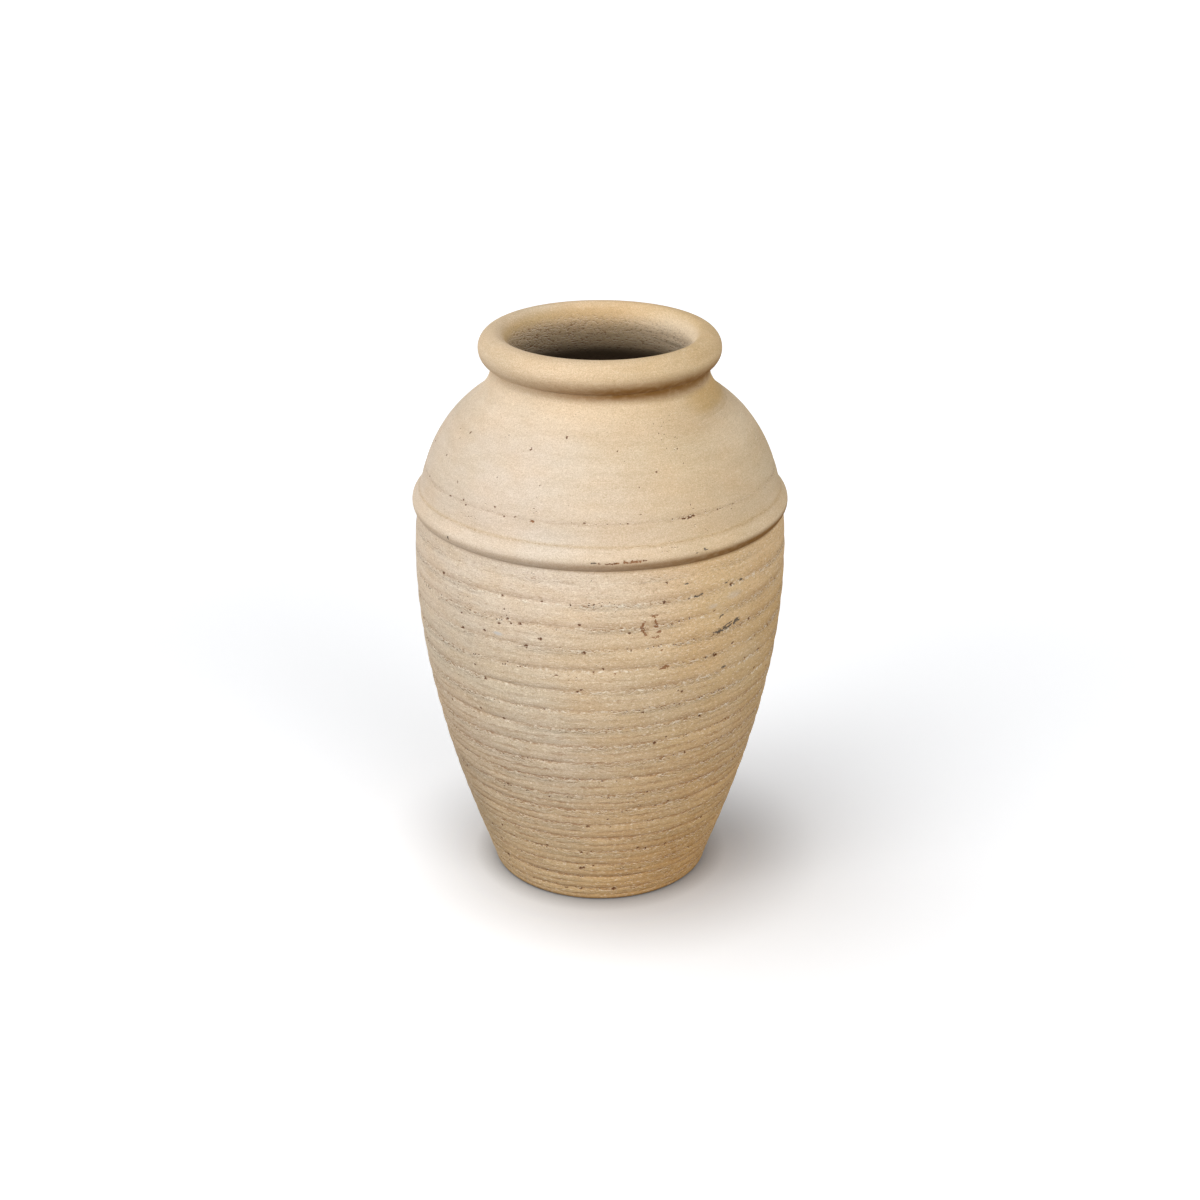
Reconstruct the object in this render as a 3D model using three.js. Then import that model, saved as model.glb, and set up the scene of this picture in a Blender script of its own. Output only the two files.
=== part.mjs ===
// A thrown clay vase, made as potters make a jar in sections: a dished floor, a ringed lower wall,
// a shoulder, a neck collar and a rolled rim, each luted to the next with slip in a V-shaped seam,
// and a clay cordon pressed over the widest seam as a belt.
// Millimetres, +Z up, origin at the centre of the foot, on the table.
import * as THREE from "three";

// Dished floor
const footRadius = 67.8;
const footRounding = 1.6;
const floorThickness = 11;
const floorCornerReach = 14;
const floorSeamHeight = 20;

// Lower wall, and the curve that it shares with the dished floor
const lowerWallHeight = 227;
const bellyRadius = 113.3;
const bellyBelowBelt = 39;
const bellyReach = 98;
const footLean = 3.3;
const footRise = 15;
const wallThickness = 8.5;

// Throwing rings: bulges between shallow grooves, wider apart towards the belt.
// A bulge is full over the middle of its bay, and falls to the groove over this share at each end.
const ringDepth = 0.6;
const ringFallShare = 0.32;
const ringFirstPitch = 10.9;
const ringPitchGrowth = 0.11;
const ringBeltMargin = 16;

// Shoulder, with a line scored round it above the belt
const shoulderHeight = 62.5;
const shoulderReach = 54.8;
const shoulderTopRun = 24.7;
const shoulderTopDrop = 18;
const scoreLineAboveBelt = 7.5;
const scoreLineDepth = 0.45;
const scoreLineHalfWidth = 1.4;

// Belt cordon: a round coil below, smoothed into the shoulder above
const beltRadius = 6.2;
const beltStandOut = 3.5;
const beltRoundToDegrees = 35;
const beltFilletRise = 13.5;
const beltEdge = 0.6;

// Neck collar and rolled rim
const neckRadius = 65;
const neckFlare = 11;
const neckFlareReach = 6;
const neckHeight = 20.5;
const throatStep = 0.3;
const throatReach = 14;
const rimRadius = 10;
const rimMouthReach = 7.3;
const rimOverhang = 7.4;

// Seams
const slipThickness = 0.8;
const seamDepth = 3.5;

// Facets, and how finely a place on a curve is searched for
const segments = 36;
const wallSteps = 9;
const shoulderSteps = 7;
const curveSteps = 6;
const beltSteps = 7;
const contactSteps = 3;
const rimSteps = 16;
const saddleSteps = 5;
const searchSteps = 50;

// Heights and radii that follow from the sizes above
const footRingHeight = floorSeamHeight / 2;
const beltSeamHeight = floorSeamHeight + lowerWallHeight;
const bellyHeight = beltSeamHeight - bellyBelowBelt;
const neckSeamHeight = beltSeamHeight + shoulderHeight;
const rimHeight = neckSeamHeight + neckHeight + rimRadius;
const neckSeamRadius = neckRadius + neckFlare;
const rimCentreRadius = neckRadius + rimOverhang - rimRadius;
const throatRadius = rimCentreRadius - rimMouthReach + throatStep;

const point = (radius, height) => new THREE.Vector2(radius, height);

// Outer profile of the body: one curve from the foot to the belly, one from the belly to the neck
const lowerCurve = new THREE.CubicBezierCurve(
  point(footRadius, 0),
  point(footRadius + footLean, footRise),
  point(bellyRadius, bellyHeight - bellyReach),
  point(bellyRadius, bellyHeight),
);
const upperCurve = new THREE.CubicBezierCurve(
  point(bellyRadius, bellyHeight),
  point(bellyRadius, bellyHeight + shoulderReach),
  point(neckSeamRadius + shoulderTopRun, neckSeamHeight - shoulderTopDrop),
  point(neckSeamRadius, neckSeamHeight),
);

// Place on the outer profile at a height: the point, the way up along the wall and the way out of it
function placeAtHeight(height) {
  const curve = height < bellyHeight ? lowerCurve : upperCurve;
  let low = 0;
  let high = 1;
  for (let halving = 0; halving < searchSteps; halving += 1) {
    const middle = (low + high) / 2;
    if (curve.getPoint(middle).y < height) low = middle;
    else high = middle;
  }
  const along = curve.getTangent(high);
  return { at: curve.getPoint(high), along, out: point(along.y, -along.x) };
}

// Point of the wall at a height, moved out of the surface by a distance, or into it if negative
function wallPoint(height, outwards = 0) {
  const place = placeAtHeight(height);
  return place.at.addScaledVector(place.out, outwards);
}

// Even steps from one value to another, without the first one
function stepsBetween(first, last, steps) {
  return Array.from({ length: steps }, (_, step) => first + ((last - first) * (step + 1)) / steps);
}

// Inner surface of the wall between two seams, from the top down
function innerWall(bottom, top, steps) {
  return stepsBetween(top, bottom, steps)
    .slice(0, -1)
    .map((height) => wallPoint(height, -wallThickness));
}

// V-shaped seam across the wall: the edge of the section below, and of the section above the slip.
// Both edges run from the outer surface to the inner one. The seam starts below the surface by outerInset.
function wallSeam(height, outerInset = 0) {
  const { at, along, out } = placeAtHeight(height);
  const outer = at.clone().addScaledVector(out, -outerInset);
  const inner = at.clone().addScaledVector(out, -wallThickness);
  const valley = outer.clone().add(inner).multiplyScalar(0.5).addScaledVector(along, -seamDepth);
  const below = [outer, valley, inner];
  const above = below.map((edge) => edge.clone().addScaledVector(along, slipThickness));
  return { below, above };
}

const floorSeam = wallSeam(floorSeamHeight, ringDepth);
const beltSeam = wallSeam(beltSeamHeight);
const neckSeam = wallSeam(neckSeamHeight);

// The full stretch of the bulge between two grooves: its lower and its upper edge
function bulge(bottom, top) {
  const fall = (top - bottom) * ringFallShare;
  return [wallPoint(bottom + fall), wallPoint(top - fall)];
}

// Centre heights of the throwing rings on the lower wall
function ringHeights() {
  const heights = [];
  for (let ring = 1; ; ring += 1) {
    const height = floorSeamHeight + ringFirstPitch * ring + ringPitchGrowth * ring * ring;
    if (height > beltSeamHeight - ringBeltMargin) return heights;
    heights.push(height);
  }
}

// Section of the belt cordon: a round coil set into the wall
const beltCentre = point(wallPoint(beltSeamHeight).x + beltStandOut - beltRadius, beltSeamHeight);
const onBelt = (angle) =>
  point(beltCentre.x + beltRadius * Math.cos(angle), beltCentre.y + beltRadius * Math.sin(angle));

// Height on the wall at which the underside of the coil meets the slip
function beltFootHeight() {
  let outside = beltSeamHeight - 2 * beltRadius;
  let inside = beltSeamHeight;
  for (let halving = 0; halving < searchSteps; halving += 1) {
    const height = (outside + inside) / 2;
    if (wallPoint(height, slipThickness).distanceTo(beltCentre) > beltRadius) outside = height;
    else inside = height;
  }
  return inside;
}

// Heights at which the cordon's slip follows the wall, from the foot of the coil to its feathered edge
const beltFoot = beltFootHeight();
const beltTopHeight = beltSeamHeight + beltFilletRise;
const lowContactHeights = [beltFoot, (beltFoot + beltSeamHeight) / 2];
const highContactHeights = stepsBetween(beltSeamHeight, beltTopHeight, contactSteps);
const lowContact = lowContactHeights.map((height) => wallPoint(height));
const highContact = highContactHeights.map((height) => wallPoint(height));
const contactHeights = [...lowContactHeights, beltSeamHeight, ...highContactHeights];
const slipFace = contactHeights.map((height) => wallPoint(height, slipThickness));

// Section of the rolled rim: round on its outer side, flatter towards the mouth.
// The angle is 0 at the outer side and grows upwards.
function onRim(angle, outwards = 0) {
  const reach = Math.cos(angle) < 0 ? rimMouthReach : rimRadius;
  return point(
    rimCentreRadius + (reach + outwards) * Math.cos(angle),
    rimHeight + (rimRadius + outwards) * Math.sin(angle),
  );
}

// Saddle on top of the neck that the rim is seated in, along the underside of the rim,
// from the neck's outer surface to its inner one
const seatStart = -Math.acos((neckRadius - rimCentreRadius) / (rimRadius + slipThickness));
const seatEnd = -Math.acos((throatRadius - rimCentreRadius) / (rimMouthReach + slipThickness));
const seatAngles = [seatStart, ...stepsBetween(seatStart, seatEnd, saddleSteps)];
const neckSaddle = seatAngles.map((angle) => onRim(angle, slipThickness));
const rimSeat = seatAngles.map((angle) => onRim(angle));

// Materials
const clay = new THREE.MeshStandardMaterial({ color: 0xd8c09a, roughness: 0.95, metalness: 0 });
const ringedClay = new THREE.MeshStandardMaterial({ color: 0xcfb48a, roughness: 0.95, metalness: 0 });
const slip = new THREE.MeshStandardMaterial({ color: 0xdfcdae, roughness: 0.98, metalness: 0 });

// One solid of revolution about the vertical axis, from a profile that runs up its outer side.
// A profile that doesn't start and end on the axis is closed on itself.
function revolve(name, profile, material) {
  const onAxis = profile[0].x === 0;
  const outline = onAxis ? profile : [...profile, profile[0]];
  const geometry = new THREE.LatheGeometry(outline, segments);
  geometry.rotateX(Math.PI / 2);
  const mesh = new THREE.Mesh(geometry, material);
  mesh.name = name;
  return mesh;
}

// Slip that fills a seam between two edges, each running from the outside in
function slipRing(name, below, above) {
  return revolve(name, [...above, ...below.slice().reverse()], slip);
}

function makeFloorDish() {
  const cornerStart = floorSeam.below[2];
  const corner = new THREE.QuadraticBezierCurve(
    cornerStart,
    point(cornerStart.x, floorThickness),
    point(cornerStart.x - floorCornerReach, floorThickness),
  );
  const profile = [
    point(0, 0),
    point(footRadius - footRounding, 0),
    wallPoint(footRounding),
    ...bulge(footRounding, footRingHeight),
    wallPoint(footRingHeight, -ringDepth),
    ...bulge(footRingHeight, floorSeamHeight),
    ...floorSeam.below,
    ...corner.getPoints(curveSteps).slice(1),
    point(0, floorThickness),
  ];
  return revolve("floor_dish", profile, ringedClay);
}

function makeLowerWall() {
  const rings = [];
  let bottom = floorSeamHeight;
  for (const height of ringHeights()) {
    rings.push(...bulge(bottom, height), wallPoint(height, -ringDepth));
    bottom = height;
  }
  const profile = [
    floorSeam.above[0],
    ...rings,
    ...bulge(bottom, beltFoot),
    ...lowContact,
    ...beltSeam.below,
    ...innerWall(floorSeamHeight, beltSeamHeight, wallSteps),
    floorSeam.above[2],
    floorSeam.above[1],
  ];
  return revolve("lower_wall", profile, ringedClay);
}

function makeShoulder() {
  const scoreHeight = beltTopHeight + scoreLineAboveBelt;
  const scoreTop = scoreHeight + scoreLineHalfWidth;
  const upperHeights = stepsBetween(scoreTop, neckSeamHeight, shoulderSteps);
  const profile = [
    beltSeam.above[0],
    ...highContact,
    wallPoint(scoreHeight - scoreLineHalfWidth),
    wallPoint(scoreHeight, -scoreLineDepth),
    wallPoint(scoreTop),
    ...upperHeights.slice(0, -1).map((height) => wallPoint(height)),
    ...neckSeam.below,
    ...innerWall(beltSeamHeight, neckSeamHeight, shoulderSteps),
    beltSeam.above[2],
    beltSeam.above[1],
  ];
  return revolve("shoulder", profile, clay);
}

function makeBeltCordon() {
  const roundFrom = slipFace[0].clone().sub(beltCentre).angle() - 2 * Math.PI;
  const roundTo = THREE.MathUtils.degToRad(beltRoundToDegrees);
  const profile = [slipFace[0], ...stepsBetween(roundFrom, roundTo, beltSteps).map(onBelt)];
  const roundEnd = profile[profile.length - 1];
  const filletEnd = wallPoint(beltTopHeight, slipThickness + beltEdge);
  const tangent = point(-Math.sin(roundTo), Math.cos(roundTo));
  const toWall = placeAtHeight(beltTopHeight).along;
  const reach = roundEnd.distanceTo(filletEnd) / 3;
  const fillet = new THREE.CubicBezierCurve(
    roundEnd,
    roundEnd.clone().addScaledVector(tangent, reach),
    filletEnd.clone().addScaledVector(toWall, -reach),
    filletEnd,
  );
  profile.push(...fillet.getPoints(curveSteps).slice(1));
  profile.push(...slipFace.slice(1).reverse());
  return revolve("belt_cordon", profile, clay);
}

function makeNeckCollar() {
  const along = placeAtHeight(neckSeamHeight).along;
  const [outerStart, valley, innerStart] = neckSeam.above;
  const outerEnd = neckSaddle[0];
  const innerEnd = neckSaddle[saddleSteps];
  const flare = new THREE.CubicBezierCurve(
    outerStart,
    outerStart.clone().addScaledVector(along, neckFlareReach),
    point(neckRadius, (outerStart.y + outerEnd.y) / 2),
    outerEnd,
  );
  const throat = new THREE.CubicBezierCurve(
    innerEnd,
    point(throatRadius, (innerStart.y + innerEnd.y) / 2),
    innerStart.clone().addScaledVector(along, throatReach),
    innerStart,
  );
  const profile = [
    ...flare.getPoints(curveSteps).slice(0, -1),
    ...neckSaddle,
    ...throat.getPoints(curveSteps).slice(1),
    valley,
  ];
  return revolve("neck_collar", profile, clay);
}

function makeRimRoll() {
  const roll = stepsBetween(seatStart, seatEnd + 2 * Math.PI, rimSteps)
    .slice(0, -1)
    .map((angle) => onRim(angle));
  return revolve("rim_roll", [...rimSeat.slice().reverse(), ...roll], clay);
}

function makeCordonSlip() {
  const wallFace = [...lowContact, beltSeam.below[0], beltSeam.above[0], ...highContact];
  const profile = [wallFace[0], ...slipFace, ...wallFace.slice(1).reverse()];
  return revolve("slip_under_cordon", profile, slip);
}

const vase = new THREE.Group();
vase.add(
  makeFloorDish(),
  makeLowerWall(),
  makeShoulder(),
  makeBeltCordon(),
  makeNeckCollar(),
  makeRimRoll(),
  slipRing("slip_floor_seam", floorSeam.below, floorSeam.above),
  slipRing("slip_belt_seam", beltSeam.below, beltSeam.above),
  slipRing("slip_neck_seam", neckSeam.below, neckSeam.above),
  slipRing("slip_rim_seam", neckSaddle, rimSeat),
  makeCordonSlip(),
);

export default vase;
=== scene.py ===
import math

import bpy
import numpy as np
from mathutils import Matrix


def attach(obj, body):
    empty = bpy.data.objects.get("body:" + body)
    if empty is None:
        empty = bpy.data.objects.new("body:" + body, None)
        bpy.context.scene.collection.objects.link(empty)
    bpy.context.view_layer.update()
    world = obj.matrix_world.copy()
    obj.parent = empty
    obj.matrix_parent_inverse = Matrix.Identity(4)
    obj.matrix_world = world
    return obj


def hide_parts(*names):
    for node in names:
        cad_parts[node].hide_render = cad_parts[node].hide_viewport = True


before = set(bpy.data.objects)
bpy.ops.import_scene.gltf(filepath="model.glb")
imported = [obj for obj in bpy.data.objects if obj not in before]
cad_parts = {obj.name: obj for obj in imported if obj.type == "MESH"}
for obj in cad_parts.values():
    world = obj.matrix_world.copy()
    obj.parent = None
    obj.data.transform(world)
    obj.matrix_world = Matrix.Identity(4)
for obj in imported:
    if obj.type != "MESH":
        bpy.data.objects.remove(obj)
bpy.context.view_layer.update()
print("frame loaded:", len(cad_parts), "solids")

mm = 0.001  # every outline below is drawn in millimetres
fullTurn = 2 * math.pi
dice = np.random.default_rng(41)  # seeded, so each run throws the same pot
pool = dice.random(8191)  # the random values that all the noise below reads
poolSteps = {"along": 17, "across": 131, "up": 4177}
# what the clay's finish is told about each point of the skin
markNames = ("grooveShadeAndDirt", "torn", "pitty", "pit", "rust", "soot", "deep", "creaseShadeAndDirt", "ochre",
             "chalk", "ash", "ringSin", "ringCos")


def ease(low, high, value):
    t = np.clip((value - low) / (high - low), 0, 1)
    return t * t * (3 - 2 * t)


def band(gap, width):
    # 1 on a line, falling to 0 on both sides of it
    return np.exp(-(gap / width) ** 2)


def lineNoise(along, start):
    # smooth random values from 0 to 1 along a line, a new one at each whole step
    cell = np.floor(along).astype(np.int64)
    t = ease(0, 1, along - cell)
    before = pool[(cell * poolSteps["along"] + start) % pool.size]
    after = pool[((cell + 1) * poolSteps["along"] + start) % pool.size]
    return before + (after - before) * t


def skinNoise(turn, height, cells, tall, start):
    # the same over the skin of the pot, with a number of cells that closes round it
    across = (turn / fullTurn + 0.5) * cells
    up = height / tall
    column = np.floor(across).astype(np.int64)
    row = np.floor(up).astype(np.int64)
    s = ease(0, 1, across - column)
    t = ease(0, 1, up - row)

    def corner(right, above):
        place = ((column + right) % cells) * poolSteps["across"] + (row + above) * poolSteps["up"]
        return pool[(place + start) % pool.size]

    low = corner(0, 0) * (1 - s) + corner(1, 0) * s
    high = corner(0, 1) * (1 - s) + corner(1, 1) * s
    return low * (1 - t) + high * t


def uneven(turn, height, *noises):
    # the same about zero, summed; a noise is its reach, cells round the pot, their height and a start
    return sum(reach * (skinNoise(turn, height, *grain) - 0.5) for reach, *grain in noises)


def bend(start, first, second, end, count=600):
    # a curve from start to end, drawn towards two points between them
    t = np.linspace(0, 1, count)[:, None]
    return ((1 - t) ** 3 * np.array(start) + 3 * (1 - t) ** 2 * t * np.array(first)
            + 3 * (1 - t) * t ** 2 * np.array(second) + t ** 3 * np.array(end))


def outward(line):
    # unit normals of an outline that runs up its outer side
    way = np.gradient(line, axis=0)
    way /= np.linalg.norm(way, axis=1)[:, None]
    return np.stack([way[:, 1], -way[:, 0]], axis=1)


def evenRows(line, spacing):
    line = np.asarray(line, float)
    run = np.concatenate([[0], np.cumsum(np.linalg.norm(np.diff(line, axis=0), axis=1))])
    marks = np.linspace(0, run[-1], max(2, int(round(run[-1] / spacing))) + 1)
    return np.stack([np.interp(marks, run, line[:, 0]), np.interp(marks, run, line[:, 1])], axis=1)


bodyShape = {
    "foot": (67.8, 0.0), "footPull": (71.1, 15.0),  # radius and height
    "bellyPull": (113.3, 110.0), "belly": (113.3, 208.0),
    "shoulderPull": (113.3, 262.8), "topPull": (100.7, 291.5), "top": (76.0, 309.5),
    "wall": 8.5, "wallSteps": 400, "seamDepth": 3.5, "seamRows": 1.5, "hairline": 0.02,
    "floorSeam": 20.0, "beltSeam": 247.0, "neckSeam": 309.5,
}
lowerLine = bend(bodyShape["foot"], bodyShape["footPull"], bodyShape["bellyPull"], bodyShape["belly"])
upperLine = bend(bodyShape["belly"], bodyShape["shoulderPull"], bodyShape["topPull"], bodyShape["top"])
bodyLine = np.vstack([lowerLine, upperLine[1:]])
bodyOut = outward(bodyLine)


def bodyNormal(height):
    return np.stack([np.interp(height, bodyLine[:, 1], bodyOut[:, k]) for k in (0, 1)], axis=-1)


def bodyAt(height, depth=0.0):
    # a point of the wall, or of a face inside it at that depth
    height = np.asarray(height, float)
    skin = np.stack([np.interp(height, bodyLine[:, 1], bodyLine[:, 0]), height], axis=-1)
    return skin - np.asarray(depth, float)[..., None] * bodyNormal(height)


def wallRows(low, high, spacing, depth=0.0):
    heights = np.linspace(low, high, bodyShape["wallSteps"])
    return evenRows(bodyAt(heights, np.full(heights.size, depth)), spacing)


def seamRows(height, lift):
    # V seam through the wall, from outside to inside, without its two ends
    outer = bodyAt(height)
    inner = bodyAt(height, bodyShape["wall"])
    out = bodyNormal(height)
    along = np.array([-out[1], out[0]])
    valley = (outer + inner) / 2 - bodyShape["seamDepth"] * along
    return evenRows(np.array([outer, valley, inner]) + lift * along, bodyShape["seamRows"])[1:-1]


potSwell = (5, 60, 17)  # the grain of the slow swell that runs through all the sections
ringMarks = {  # what the fingers left in the lower wall
    "first": 20.0, "pitch": 10.9, "growth": 0.11,
    "swayHeights": (0.0, 40.0, 130.0, 225.0), "swayLifts": (-2.0, -2.0, 1.3, -2.0),
    "drift": (1.7, 6, 30, 5),
    "footSpan": (0, 5), "topSpan": (228.0, 241.0),
    "faintest": 0.5, "stronger": 0.7, "strengthLine": (9, 11),  # steps in a turn and a start in the pool
    "bayHeights": (0.0, 60.0, 130.0, 180.0, 230.0),
    "bayDepths": (0.6, 0.8, 0.65, 0.45, 0.3), "bayPower": 1.8,
    "betweenHeights": (0.0, 50.0, 90.0, 130.0), "betweenDepths": (0.3, 0.32, 0.2, 0.0),
    "groove": 0.32, "grooveWidth": 0.9, "sharpSpan": (0.2, 0.75), "sharpLine": (19, 301),
    "ripple": (0.28, 4, 3.9, 33), "rippleLeast": 0.25, "rippleMore": 0.9, "rippleShare": (9, 40, 71),
    "brush": (0.08, 11, 1.7, 57), "swell": (0.5, *potSwell), "swellSpan": (0, 8),
}


def ringSway(turn, height):
    # the rings lean to one side by these lifts
    return np.interp(height, ringMarks["swayHeights"], ringMarks["swayLifts"]) * np.sin(turn)


def ringPlace(turn, height):
    # the rings are one long spiral: where a point is along it, how far above its groove, and their spacing
    sway = ringSway(turn, height) + uneven(turn, height, ringMarks["drift"])
    climb = height - sway - ringMarks["first"]
    pitch, growth = ringMarks["pitch"], ringMarks["growth"]
    count = (np.sqrt(pitch ** 2 + 4 * growth * climb) - pitch) / (2 * growth)
    phase = count - turn / fullTurn
    ring = np.round(phase)
    spacing = pitch + 2 * growth * count
    return ring + turn / fullTurn, (phase - ring) * spacing, spacing


def grooveHeight(ring, turn):
    count = ring + turn / fullTurn
    height = ringMarks["first"] + ringMarks["pitch"] * count + ringMarks["growth"] * count ** 2
    return height + ringSway(turn, height)


def ringNoise(spiral, line):
    steps, start = line
    return lineNoise(spiral * steps, start)


def ringGrooves(level, above, spacing, strength, sharp):
    # a wide bay round each groove, a weaker one half way to the next, and the sharp groove itself
    bay = np.interp(level, ringMarks["bayHeights"], ringMarks["bayDepths"])
    lift = -bay * strength * (1 - np.abs(2 * above / spacing)) ** ringMarks["bayPower"]
    between = np.interp(level, ringMarks["betweenHeights"], ringMarks["betweenDepths"])
    aside = np.clip((spacing / 2 - np.abs(above)) / (spacing / 4), 0, 1)
    lift = lift - between * strength * (1 - aside) ** ringMarks["bayPower"]
    return lift - ringMarks["groove"] * sharp * strength * band(above, ringMarks["grooveWidth"])


pitForm = {"wide": 1.25, "reachAside": 2.6, "reachUp": 2.2}  # shares of a pit's size


def pressPits(pits, around, level, radius):
    # small round holes; returns how deep they are and how much of the colour they take
    depth = np.zeros((level.size, around.size))
    shade = np.zeros_like(depth)
    for at, up, size, deep in pits:
        aside = ((around[0] - at + math.pi) % fullTurn - math.pi) * radius
        columns = np.nonzero(np.abs(aside) < pitForm["reachAside"] * size)[0]
        rows = np.nonzero(np.abs(level[:, 0] - up) < pitForm["reachUp"] * size)[0]
        if rows.size and columns.size:
            spot = np.exp(-(aside[columns][None, :] / (pitForm["wide"] * size)) ** 2
                          - ((level[rows] - up) / size) ** 2)
            block = np.ix_(rows, columns)
            depth[block] = np.maximum(depth[block], deep * spot)
            shade[block] = np.maximum(shade[block], spot)
    return depth, shade


strokeForm = {
    "thinnest": 0.45, "sway": 1.3, "raggedStep": 1.6, "raggedStart": 900, "raggedNext": 61,
    "breakStep": 2.3, "breakStart": 400, "breakNext": 37, "breakSpan": (0.62, 0.78),
}


def pressStrokes(strokes, around, level, radius):
    # short cracks and drag marks from one place to another, broken up along their way
    form = strokeForm
    depth = np.zeros((level.size, around.size))
    shades = {kind: np.zeros_like(depth) for kind in ("rust", "soot", "pit")}
    for count, (fromTurn, fromHeight, toTurn, toHeight, half, deep, kind, share) in enumerate(strokes):
        across = math.radians(toTurn - fromTurn) * radius
        rise = toHeight - fromHeight
        length = math.hypot(across, rise)
        aside = around * radius - math.radians(fromTurn) * radius
        above = level - fromHeight
        run = np.clip((aside * across + above * rise) / length, 0, length)
        ragged = lineNoise(run / form["raggedStep"], form["raggedStart"] + form["raggedNext"] * count)
        astray = form["sway"] * half * (ragged - 0.5)
        gap = np.hypot(aside - run * across / length, above - run * rise / length - astray)
        body = band(gap, half * (form["thinnest"] + ragged))
        whole = lineNoise(run / form["breakStep"], form["breakStart"] + form["breakNext"] * count)
        body = body * ease(form["breakSpan"][0] - share, form["breakSpan"][1] - share, whole)
        depth = np.maximum(depth, deep * body)
        shades[kind] = np.maximum(shades[kind], body)
    return depth, shades


wallPits = {
    "onRings": 320, "ringRange": (-1, 17), "offRing": -0.2, "spread": 0.9, "ringPower": 3,
    "elsewhere": 100, "low": 6.0, "high": 238.0, "elsewhereShare": 0.5, "elsewherePower": 2,
    "small": 0.5, "large": 1.15, "deep": 0.8,
    "largest": ((-22.3, 192.6, 1.15), (-4.6, 192.0, 1.1), (-17.6, 198.7, 1.0), (-31.0, 203.5, 0.85),
                (-36.5, 196.4, 0.9), (-27.0, 205.4, 0.75), (0.8, 181.6, 0.85), (-13.0, 176.0, 0.8),
                (-6.0, 209.5, 0.8), (8.5, 204.0, 0.75)),  # turn in degrees, height and size
}
# turn and height at each end, half width, depth, colour, and the share that is left whole
wallStrokes = [
    (35.8, 194.3, 45.2, 197.4, 1.25, 0.7, "soot", 0.6),
    (37.4, 196.6, 44.0, 199.0, 0.5, 0.4, "soot", 0.35),
    (26.6, 220.6, 31.2, 221.4, 0.6, 0.5, "soot", 0.5),
    (20.8, 229.0, 27.4, 230.6, 0.6, 0.35, "soot", 0.1),
    (31.0, 180.2, 36.2, 180.8, 0.6, 0.5, "soot", 0.2),
    (39.6, 169.0, 41.4, 169.6, 0.8, 0.4, "soot", 0.4),
    (37.8, 204.0, 39.2, 204.8, 0.65, 0.6, "soot", 0.5),
    (33.6, 223.4, 41.0, 224.8, 0.6, 0.4, "soot", 0.1),
    (43.4, 221.6, 47.0, 222.8, 0.7, 0.45, "soot", 0.2),
    (17.5, 178.6, 20.4, 179.6, 0.8, 0.5, "rust", 0.4),
    (4.4, 178.0, 7.6, 178.4, 0.7, 0.4, "rust", 0.2),
    (18.0, 191.4, 23.0, 193.2, 0.6, 0.35, "rust", 0.1),
    (-0.4, 89.4, 3.6, 90.4, 1.0, 0.7, "pit", 0.3),
    (-9.2, 27.4, -7.4, 27.8, 0.9, 0.6, "pit", 0.5),
    (12.9, 210.6, 12.3, 206.4, 0.9, 0.3, "rust", 0.55),  # one rusty stain, in six strokes
    (12.3, 206.4, 13.3, 202.4, 1.15, 0.3, "rust", 0.6),
    (13.6, 201.2, 17.0, 200.2, 0.9, 0.25, "rust", 0.55),
    (15.9, 213.2, 16.7, 206.6, 0.7, 0.15, "rust", 0.45),
    (16.5, 206.8, 17.3, 203.4, 1.3, 0.3, "rust", 0.6),
    (14.8, 213.4, 16.9, 214.2, 0.7, 0.15, "rust", 0.35),
]


def strewPits():
    plan = wallPits
    pits = []
    room = plan["large"] - plan["small"]
    for k in range(plan["onRings"]):
        at = dice.uniform(-math.pi, math.pi)
        level = grooveHeight(dice.integers(*plan["ringRange"]), at)
        level = level + dice.normal(plan["offRing"], plan["spread"])
        size = plan["small"] + room * dice.random() ** plan["ringPower"]
        pits.append((at, level, size, plan["deep"] * size))
    for k in range(plan["elsewhere"]):
        more = dice.random() ** plan["elsewherePower"]
        size = plan["small"] + plan["elsewhereShare"] * room * more
        level = dice.uniform(plan["low"], plan["high"])
        pits.append((dice.uniform(-math.pi, math.pi), level, size, plan["deep"] * size))
    for at, level, size in plan["largest"]:
        pits.append((math.radians(at), level, size, plan["deep"] * size))
    return pits


thrownPits = strewPits()
# pale grey spots: turn and height, half width and half height, share
ashSpots = ((-31.4, 197.0, 3.0, 1.2, 0.85), (35.0, 212.5, 3.4, 1.5, 0.3), (43.5, 215.5, 5.5, 2.4, 0.25))


def scatterAsh(around, level, radius):
    ash = np.zeros((level.size, around.size))
    for at, up, wide, tall, share in ashSpots:
        aside = (around - math.radians(at)) * radius / wide
        above = (level - up) / tall
        ash = np.maximum(ash, share * np.exp(-(aside ** 2 + above ** 2) ** 2))
    return ash


grooveShadeMarks = {"above": 1.5, "width": 2.4, "soft": 0.55, "keen": 0.45, "front": 0.88, "lean": 0.16}


def shadeAndDirtInGrooves(around, above, strength, sharp):
    # brown dirt and painted shade in a groove and just above it, stronger on the right side
    grooveShadeAndDirt = strength * band(above - grooveShadeMarks["above"], grooveShadeMarks["width"])
    grooveShadeAndDirt = grooveShadeAndDirt * (grooveShadeMarks["soft"] + grooveShadeMarks["keen"] * sharp)
    return grooveShadeAndDirt * (grooveShadeMarks["front"] + grooveShadeMarks["lean"] * np.sin(around))


tornMarks = {
    "below": 1.4, "width": 2.1, "span": (0.1, 0.6), "line": (23, 701),
    "steady": 0.6, "broken": 0.4, "grain": (160, 3, 231),
    "patch": 0.25, "patchSpan": (0.6, 0.85), "patchGrain": (24, 6, 91),
    "heights": (0, 60, 120, 230, 242), "shares": (0.75, 0.9, 1.0, 1.0, 0.2),
}


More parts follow.
